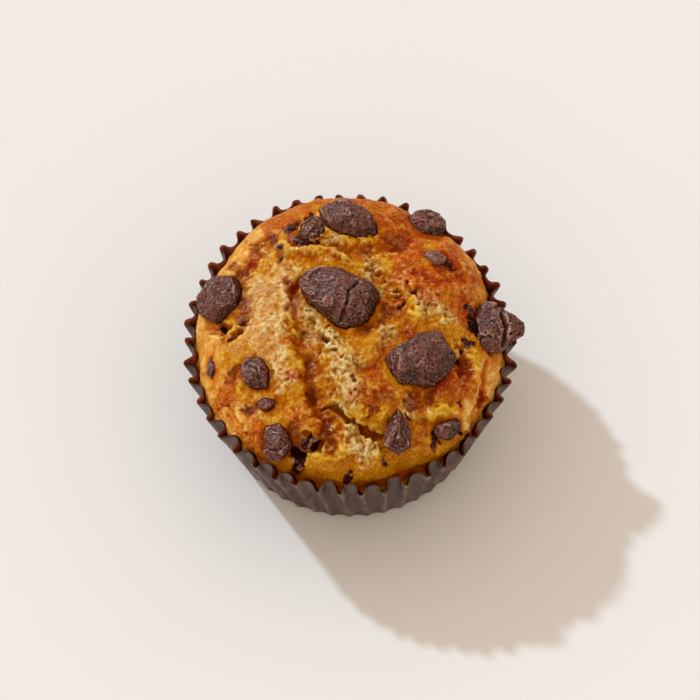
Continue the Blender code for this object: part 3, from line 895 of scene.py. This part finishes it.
def baked_crumb(colours):
    """Banana cake baked in a hot oven: a moist open crumb where it tore, a thin sugary crust that
    browns on its crests, deep orange-brown patches that are partly painted shade, and small wet
    glints. Crowns are painted paler, and pits, holes, furrows, the low side and the crumb round
    the chocolate painted darker, as painted light and shade."""
    material, tree, shader = new_material("baked_banana_cake")
    place = add_node(tree, "ShaderNodeTexCoord")
    spot = place.outputs["Object"]
    masks = {name: add_node(tree, "ShaderNodeAttribute", {"attribute_name": name})
             for name in ("open", "grainy", "brown", "scorched", "tan", "amber_painted_shade", "smear", "painted_contact_shadow",
                          "crown", "painted_crumb_shading")}
    coarse = add_node(tree, "ShaderNodeTexNoise", {"Scale": 1.0 / FLECK_SIZE, "Detail": 5.0,
                                                   "Roughness": 0.66}, {"Vector": spot})
    fine = add_node(tree, "ShaderNodeTexNoise", {"Scale": 1.0 / GRAIN_SIZE, "Detail": 3.0,
                                                 "Roughness": 0.62}, {"Vector": spot})
    flecks = add_node(tree, "ShaderNodeMapRange", {"From Min": 0.38, "From Max": 0.66},
                      {"Value": coarse.outputs["Fac"]})

    # Each layer lies over the last: its mask, its colour and the colour of its flecks, where the
    # mask starts and is full, and how far the flecks break up its border.
    layers = (
        ("tan", colours.tan, hex_colour("#C97F30"), 0.20, 0.80, 0.5),
        ("grainy", colours.grainy, hex_colour("#C68A30"), 0.20, 0.80, 0.9),
        ("open", colours.pale, hex_colour("#BC883A"), 0.25, 0.75, 0.9),
        ("brown", colours.browned, hex_colour("#C6680E"), 0.25, 0.85, 0.9),
        # Amber patches, partly painted shade in hollows and beside the chocolate.
        ("amber_painted_shade", hex_colour("#B87C14"), hex_colour("#A0660A"), 0.30, 1.10, 0.9),
        ("scorched", colours.scorched, hex_colour("#C8700C"), 0.35, 0.85, 0.9),
        # Painted shadow round the chocolate.
        ("painted_contact_shadow", hex_colour("#965612"), hex_colour("#965612"), 0.30, 1.00, 0.5),
        ("smear", hex_colour("#6A3822"), hex_colour("#6A3822"), 0.30, 0.75, 0.6),
    )
    colour = add_node(tree, "ShaderNodeMix", {"data_type": "RGBA", 6: (*colours.golden, 1.0),
                                              7: (*hex_colour("#C2800F"), 1.0)},
                      {0: flecks.outputs["Result"]})
    for mask, light, dark, low, high, broken in layers:
        tint = add_node(tree, "ShaderNodeMix", {"data_type": "RGBA", 6: (*light, 1.0),
                                                7: (*dark, 1.0)},
                        {0: flecks.outputs["Result"]})
        ragged = add_node(tree, "ShaderNodeMath", {"operation": "MULTIPLY_ADD", 1: broken,
                                                   2: -0.5 * broken},
                          {0: coarse.outputs["Fac"]})
        total = add_node(tree, "ShaderNodeMath", {"operation": "ADD"},
                         {0: masks[mask].outputs["Fac"], 1: ragged.outputs["Value"]})
        share = add_node(tree, "ShaderNodeMapRange",
                         {"interpolation_type": "SMOOTHSTEP", "From Min": low, "From Max": high},
                         {"Value": total.outputs["Value"]})
        colour = add_node(tree, "ShaderNodeMix", {"data_type": "RGBA"},
                          {0: share.outputs["Result"], 6: colour.outputs[2],
                           7: tint.outputs[2]})

    # Painted light and shade: crowns are painted paler, pits and hollows darker and deeper in
    # colour.
    near = add_node(tree, "ShaderNodeMath", {"operation": "MULTIPLY_ADD", 1: 0.9},
                    {0: masks["painted_crumb_shading"].outputs["Fac"], 2: masks["crown"].outputs["Fac"]})
    level = add_node(tree, "ShaderNodeMath", {"operation": "MULTIPLY_ADD", 1: 1.1},
                     {0: fine.outputs["Fac"], 2: near.outputs["Value"]})
    depth = add_node(tree, "ShaderNodeMapRange",
                     {"From Min": 0.92, "From Max": 2.00, "To Min": 2.0, "To Max": 0.58},
                     {"Value": level.outputs["Value"]})
    shade = add_node(tree, "ShaderNodeGamma", {}, {"Color": colour.outputs[2],
                                                   "Gamma": depth.outputs["Result"]})
    soaked = add_node(tree, "ShaderNodeMath", {"operation": "MAXIMUM"},
                      {0: masks["open"].outputs["Fac"], 1: masks["grainy"].outputs["Fac"]})
    sugared = add_node(tree, "ShaderNodeMapRange",
                       {"From Min": 0.3, "From Max": 0.9, "To Min": 1.0, "To Max": 0.15},
                       {"Value": soaked.outputs["Value"]})
    warm = add_node(tree, "ShaderNodeMix", {"data_type": "RGBA", "blend_type": "MULTIPLY",
                                            7: (1.0, 0.94, 0.53, 1.0)},
                    {0: sugared.outputs["Result"], 6: shade.outputs["Color"]})
    tree.links.new(warm.outputs[2], shader.inputs["Base Color"])

    sugar = add_node(tree, "ShaderNodeMath", {"operation": "MULTIPLY_ADD", 1: 0.11},
                     {0: soaked.outputs["Value"], 2: fine.outputs["Fac"]})
    wet = add_node(tree, "ShaderNodeMath", {"operation": "MULTIPLY_ADD", 1: 0.35},
                   {0: masks["crown"].outputs["Fac"], 2: sugar.outputs["Value"]})
    gloss = add_node(tree, "ShaderNodeMapRange",
                     {"From Min": 0.73, "From Max": 0.81, "To Min": 0.60, "To Max": 0.14},
                     {"Value": wet.outputs["Value"]})
    tree.links.new(gloss.outputs["Result"], shader.inputs["Roughness"])
    shine = add_node(tree, "ShaderNodeMapRange",
                     {"From Min": 0.73, "From Max": 0.81, "To Min": 0.04, "To Max": 1.0},
                     {"Value": wet.outputs["Value"]})
    tree.links.new(shine.outputs["Result"], shader.inputs["Specular IOR Level"])
    cells = add_node(tree, "ShaderNodeTexVoronoi", {"Scale": 1.0 / PORE_SIZE}, {"Vector": spot})
    relief = add_node(tree, "ShaderNodeMath", {"operation": "MULTIPLY_ADD", 1: -0.45},
                      {0: cells.outputs["Distance"], 2: fine.outputs["Fac"]})
    rasp = add_node(tree, "ShaderNodeMapRange", {"To Min": 0.45, "To Max": 1.0},
                    {"Value": soaked.outputs["Value"]})
    bump = add_node(tree, "ShaderNodeBump", {"Distance": 0.30 * MM},
                    {"Height": relief.outputs["Value"], "Strength": rasp.outputs["Result"]})
    tree.links.new(bump.outputs["Normal"], shader.inputs["Normal"])
    shader.inputs["IOR"].default_value = 1.45
    shader.inputs["Subsurface Weight"].default_value = 0.12
    shader.inputs["Subsurface Radius"].default_value = (0.9, 0.45, 0.18)
    shader.inputs["Subsurface Scale"].default_value = 0.6 * MM
    return material


def crumb_blank():
    """A square of cells with rows extruded down from its border, closed underneath. Gives the
    blank and how many of its points are the square's."""
    deselect_all()
    bpy.ops.mesh.primitive_grid_add(x_subdivisions=GRID_CELLS, y_subdivisions=GRID_CELLS,
                                    size=2.0)
    crumb = bpy.context.object
    crumb.name = "baked_banana_crumb"
    square = len(crumb.data.vertices)
    bpy.ops.object.mode_set(mode="EDIT")
    bpy.ops.mesh.select_mode(type="EDGE")
    bpy.ops.mesh.select_all(action="DESELECT")
    bpy.ops.mesh.select_non_manifold()
    for _ in range(SIDE_ROWS):
        bpy.ops.mesh.extrude_edges_move()
        bpy.ops.transform.translate(value=(0.0, 0.0, -1.0))
    bpy.ops.mesh.edge_face_add()
    bpy.ops.mesh.poke()
    bpy.ops.object.mode_set(mode="OBJECT")
    return crumb, square


def smooth_dome(sizes, flat, square):
    """Where the blank's points lie on the smooth dome, made from its square, and on its fluted
    side, made from its rows. Also says which points are on top."""
    share, angle = disc_place(flat)
    length, radius_at, height_at = dome_profile(sizes)
    radius = np.interp(share * length[-1], length, radius_at)
    height = np.interp(share * length[-1], length, height_at)
    x, y = radius * np.cos(angle), radius * np.sin(angle)
    on_top = np.arange(len(flat)) < square
    relief = dome_height(sizes, x, y) - np.interp(
        np.minimum(np.hypot(x, y), sizes.edge_radius), radius_at[:PROFILE_STEPS],
        height_at[:PROFILE_STEPS])
    z = height + np.where(height > sizes.edge_height, relief, 0.0)
    row = np.clip(-flat[:, 2] / SIDE_ROWS, 0.0, 1.0)
    z = np.where(on_top, z, SHOULDER_HEIGHT + (SIDE_FOOT - SHOULDER_HEIGHT) * row)
    even = {name: np.zeros(sizes.flutes) for name in UNEVENNESS}
    wall, turned, _, _ = flute_wall(sizes, angle % math.tau, z / sizes.liner_height, even)
    wall = wall - SIDE_GAP
    hug = np.clip((sizes.edge_height - z) / (sizes.edge_height - SHOULDER_HEIGHT), 0.0, 1.0)
    outward = smooth_step(0.55, 1.0, radius / sizes.edge_radius)
    drawn = outward * around_the_rim(angle, DRAWN_IN)
    risen = outward * around_the_rim(angle, RISEN)
    z = z + risen * np.where(on_top, 1.0 - hug, 0.0)
    radius = (radius - drawn) * (1.0 - hug) + wall * hug
    turn = (turned - angle % math.tau) * hug
    x, y = radius * np.cos(angle + turn), radius * np.sin(angle + turn)
    points = np.column_stack((x, y, z))
    points[-1] = (0.0, 0.0, SIDE_FOOT)
    return points, on_top & (points[:, 2] > SHOULDER_HEIGHT + 0.2 * MM)


def torn_crust(plan):
    """Lift of the furrows, crests and holes in millimetres, and how torn and how holed each
    place is."""
    lift = np.zeros(len(plan))
    torn = np.zeros(len(plan))
    holes = np.zeros(len(plan))
    for depth, half_width, course in FURROWS:
        away = distance_to_course(plan, course) / half_width
        lift -= depth * np.exp(-away * away)
        torn = np.maximum(torn, np.exp(-0.6 * away * away))
    for rise, half_width, course in CRESTS:
        away = distance_to_course(plan, course) / half_width
        lift += rise * np.exp(-away * away)
    for x, y, radius, depth in HOLES:
        away = np.hypot(plan[:, 0] - x, plan[:, 1] - y) / radius
        pit = np.exp(-away ** 4)
        lift -= depth * pit
        holes = np.maximum(holes, pit)
    return lift, torn, holes


def surface_kinds(plan, lumps, clods):
    """How much each place is of each kind of surface, from 0 to 1."""
    kinds = {
        "open": place_mask(plan, OPEN_PLACES) + 0.35 * lumps,
        "grainy": place_mask(plan, GRAINY_PLACES) + 0.3 * lumps,
        "brown": 1.2 * place_mask(plan, BROWN_PLACES) + 0.45 * lumps,
        "scorched": place_mask(plan, SCORCHED_PLACES) + 0.5 * clods,
        "amber_painted_shade": place_mask(plan, AMBER_PAINTED_SHADE_PLACES) + 0.25 * lumps,
        "smear": place_mask(plan, SMEAR_PLACES, 0.8),
    }
    return {name: np.clip(values, 0.0, 1.0) for name, values in kinds.items()}


class MUFFIN_OT_crumb(bpy.types.Operator):
    """Bakes the cake: a lumpy, torn dome on a body that fills the liner"""

    bl_idname = "muffin.crumb"
    bl_label = "Baked crumb"

    def execute(self, context):
        sizes = context.scene.muffin_sizes
        chocolate = [item for item in bpy.data.objects
                     if item.name.startswith(("baked_chunk_", "baked_chip_"))]
        if not chocolate:
            raise RuntimeError("the chocolate comes before the crumb")
        crumb, square = crumb_blank()
        mesh = crumb.data
        points, on_top = smooth_dome(sizes, read_points(mesh), square)
        write_points(mesh, points)

        # Large shapes: furrows, crests and holes, with courses that wander like a tear.
        normals = read_normals(mesh)
        top = np.nonzero(on_top)[0]
        spots = points[top]
        fade = smooth_step(SHOULDER_HEIGHT / MM, sizes.edge_height / MM, spots[:, 2] / MM)
        wander = np.column_stack((rough_field(spots, 5.0 * MM, 3, 1.0),
                                  rough_field(spots, 5.0 * MM, 3, 9.0)))
        ripple = np.column_stack((rough_field(spots, 1.5 * MM, 2, 21.0),
                                  rough_field(spots, 1.5 * MM, 2, 29.0)))
        plan = spots[:, :2] / MM + 1.3 * wander + 0.6 * ripple
        lift, torn, holes = torn_crust(plan)
        trees = bounding_trees(chocolate)
        quiet = 0.25 + 0.75 * smooth_step(0.3, 1.8, near_chocolate(spots, trees, 2.0 * MM)[0] / MM)
        swells = rough_field(spots, 8.0 * MM, 2, 41.0)
        lumps = rough_field(spots, 3.4 * MM, 3, 51.0)
        clods = rough_field(spots, 1.9 * MM, 3, 55.0)
        plan = plan + np.column_stack((lumps, clods))
        kinds = surface_kinds(plan, lumps, clods)
        open_crumb, amber_painted_shade = kinds["open"], kinds["amber_painted_shade"]
        rim = smooth_step(27.5, 31.0, np.hypot(spots[:, 0], spots[:, 1]) / MM)
        skin = rim * (1.0 - open_crumb)
        kinds["tan"] = (skin * smooth_step(-29.0, -20.0, plan[:, 1])
                        * smooth_step(30.0, 22.0, plan[:, 1]))
        coarse = np.clip(0.34 + 0.66 * np.maximum(open_crumb, 0.8 * kinds["grainy"]) - 0.3 * skin,
                         0.1, 1.0)
        coarse = coarse * (1.0 - 0.65 * amber_painted_shade)
        lift += 0.55 * swells + (0.36 + 0.40 * coarse) * lumps - 0.45 * amber_painted_shade
        lift = np.minimum(lift, lift * quiet)
        points[top] += normals[top] * (lift * fade * MM)[:, None]
        write_points(mesh, points)

        # Fine shapes: grains of open crumb, sugary crust, bubbles burst in baking.
        normals = read_normals(mesh)
        spots = points[top]
        warped = spots + 0.5 * MM * np.column_stack((wander[:, 0], ripple[:, 0], ripple[:, 1]))
        crumbs = grain_field(warped, 1.9 * MM, 3.0)
        beads = grain_field(warped, 1.05 * MM, 7.0)
        coarse = coarse * (0.45 + 0.75 * smooth_step(-0.25, 0.35, rough_field(
            spots, 5.5 * MM, 2, 91.0)))
        tiny = rough_field(spots, 0.9 * MM, 2, 61.0)
        burst = smooth_step(0.34, 0.62, rough_field(spots, 1.9 * MM, 1, 71.0)) * (1.0 - 0.7 * skin)
        torn_edges = 1.0 - np.clip(np.abs(rough_field(spots, 3.0 * MM, 2, 77.0)) / 0.16, 0.0, 1.0)
        pores = smooth_step(0.30, 0.52, rough_field(spots, 1.0 * MM, 1, 83.0)) * open_crumb
        lift = coarse * (0.26 * crumbs + 0.30 * beads + 0.40 * clods - 0.50 * burst)
        lift -= 0.55 * pores
        lift += (0.06 + 0.12 * coarse) * tiny
        lift -= 0.28 * torn_edges * open_crumb
        lift += 0.06 * smooth_step(0.4, 0.7, kinds["smear"] + 0.3 * tiny)
        lift = np.minimum(lift, lift * quiet)
        points[top] += normals[top] * (lift * fade * MM)[:, None]
        points = keep_inside_paper(points, bpy.data.objects["folded_paper_liner"], PAPER_GAP)
        points = sink_pockets(points, trees, POCKET_GAP)
        write_points(mesh, points)

        # Masks for the material, with painted shade: what lies deep or low, and the crumb round the
        # chocolate, is painted darker than what stands out.
        away, shaded = near_chocolate(points, trees, PAINTED_SHADOW_REACH)
        # Painted shadow round each piece of chocolate, wider on the side away from the light.
        painted_contact_shadow = np.exp(-away / ((0.55 + 0.50 * shaded) * MM)) - math.exp(-3.0)
        kinds["painted_contact_shadow"] = painted_contact_shadow[top]
        # Painted shade on the crumb low down, below the rim of the paper.
        painted_low_shade = 0.8 * smooth_step(27.6, 26.2, points[top][:, 2] / MM)
        normals = read_normals(mesh)
        crown = 0.5 + 0.5 * stand_proud(mesh, points, normals, 5)[top] / (0.30 * MM)
        kinds["crown"] = crown - 0.6 * painted_contact_shadow[top] - 0.3 * painted_low_shade
        # Painted shade: wide hollows, holes, furrows, the orange-brown patches and the low side are
        # darker; smears of chocolate are darker too.
        painted_crumb_shading = 0.5 + 0.5 * stand_proud(mesh, points, normals, 60)[top] / (1.00 * MM)
        painted_crumb_shading = painted_crumb_shading - 0.6 * holes - 0.25 * torn - 0.6 * painted_contact_shadow[top] - 0.50 * amber_painted_shade - painted_low_shade
        kinds["painted_crumb_shading"] = painted_crumb_shading - 0.45 * kinds["smear"]
        for name, values in kinds.items():
            whole = np.zeros(len(mesh.vertices))
            whole[top] = values
            write_mask(mesh, name, whole)

        make_active(crumb)
        bpy.ops.object.mode_set(mode="EDIT")
        bpy.ops.mesh.select_all(action="SELECT")
        bpy.ops.mesh.normals_make_consistent(inside=False)
        bpy.ops.object.mode_set(mode="OBJECT")
        mesh.materials.append(baked_crumb(context.scene.muffin_colours))
        mesh.shade_smooth()
        finish_piece(crumb, "muffin_crumb")
        return {"FINISHED"}


# ---------------------------------------------------------------------------
# Stage
# ---------------------------------------------------------------------------

FLOOR_SIZE = 6.0
ROLLER_MARKS = 71.4 * MM
VIEW_TARGET = (-0.2 * MM, 5.1 * MM, 15.0 * MM)
VIEW_ELEVATION = math.radians(63.9)
VIEW_DISTANCE = 1.5
LENS_LENGTH = 349.0              # millimetres, on a 36 mm sensor
LIGHT_TRAVEL = (0.955, -0.882, -1.0)


def matt_board(colour):
    """Matt painted board: almost white, with a faint unevenness from the roller."""
    material, tree, shader = new_material("matt_painted_board")
    place = add_node(tree, "ShaderNodeTexCoord")
    cloud = add_node(tree, "ShaderNodeTexNoise", {"Scale": 1.0 / ROLLER_MARKS, "Detail": 5.0},
                     {"Vector": place.outputs["Object"]})
    tint = add_node(tree, "ShaderNodeMix", {"data_type": "RGBA", 6: (*colour, 1.0),
                                            7: (*hex_colour("#ECE7E2"), 1.0)},
                    {0: cloud.outputs["Fac"]})
    tree.links.new(tint.outputs[2], shader.inputs["Base Color"])
    shader.inputs["Roughness"].default_value = 0.9
    shader.inputs["IOR"].default_value = 1.3
    return material


class MUFFIN_OT_stage(bpy.types.Operator):
    """Lays the pale floor, sets the light and places the camera"""

    bl_idname = "muffin.stage"
    bl_label = "Stage"

    def execute(self, context):
        scene = context.scene
        deselect_all()
        bpy.ops.mesh.primitive_plane_add(size=FLOOR_SIZE, location=(0.0, 0.0, 0.0))
        floor = context.object
        floor.name = "pale_floor"
        floor.data.materials.append(matt_board(scene.muffin_colours.floor))

        world = bpy.data.worlds.new("soft_studio")
        world.use_nodes = True
        sky = world.node_tree.nodes["Background"]
        sky.inputs["Color"].default_value = (1.0, 0.885, 0.765, 1.0)
        sky.inputs["Strength"].default_value = 0.80
        scene.world = world

        key = bpy.data.lights.new("key", "SUN")
        key.energy = 2.0
        key.angle = math.radians(2.8)
        key.color = (0.66, 0.83, 1.0)
        lamp = bpy.data.objects.new("key", key)
        scene.collection.objects.link(lamp)
        travel = Vector(LIGHT_TRAVEL).normalized()
        lamp.rotation_euler = travel.to_track_quat("-Z", "Y").to_euler()

        lens = bpy.data.cameras.new("camera")
        lens.lens = LENS_LENGTH
        lens.sensor_width = 36.0
        lens.clip_start = 0.05
        lens.clip_end = 20.0
        camera = bpy.data.objects.new("camera", lens)
        scene.collection.objects.link(camera)
        back = Vector((0.0, -math.cos(VIEW_ELEVATION), math.sin(VIEW_ELEVATION)))
        camera.location = Vector(VIEW_TARGET) + back * VIEW_DISTANCE
        camera.rotation_euler = (-back).to_track_quat("-Z", "Y").to_euler()
        scene.camera = camera
        scene.view_settings.view_transform = "Standard"
        scene.view_settings.look = "None"
        return {"FINISHED"}


class MUFFIN_PT_panel(bpy.types.Panel):
    """Lists the steps of the muffin"""

    bl_idname = "MUFFIN_PT_panel"
    bl_label = "Banana chocolate muffin"
    bl_space_type = "VIEW_3D"
    bl_region_type = "UI"
    bl_category = "Muffin"

    def draw(self, context):
        layout = self.layout
        for step in (MUFFIN_OT_liner, MUFFIN_OT_chocolate, MUFFIN_OT_crumb, MUFFIN_OT_stage):
            layout.operator(step.bl_idname)
        for group in (context.scene.muffin_sizes, context.scene.muffin_colours):
            for name in group.__annotations__:
                layout.prop(group, name)


CLASSES = (MuffinSizes, MuffinColours, MUFFIN_OT_liner, MUFFIN_OT_chocolate, MUFFIN_OT_crumb,
           MUFFIN_OT_stage, MUFFIN_PT_panel)


def register():
    for item in CLASSES:
        bpy.utils.register_class(item)
    bpy.types.Scene.muffin_sizes = bpy.props.PointerProperty(type=MuffinSizes)
    bpy.types.Scene.muffin_colours = bpy.props.PointerProperty(type=MuffinColours)


def unregister():
    del bpy.types.Scene.muffin_colours
    del bpy.types.Scene.muffin_sizes
    for item in reversed(CLASSES):
        bpy.utils.unregister_class(item)


def main():
    register()
    bpy.ops.muffin.liner()
    bpy.ops.muffin.chocolate()
    bpy.ops.muffin.crumb()
    bpy.ops.muffin.stage()


if __name__ == "__main__":
    main()
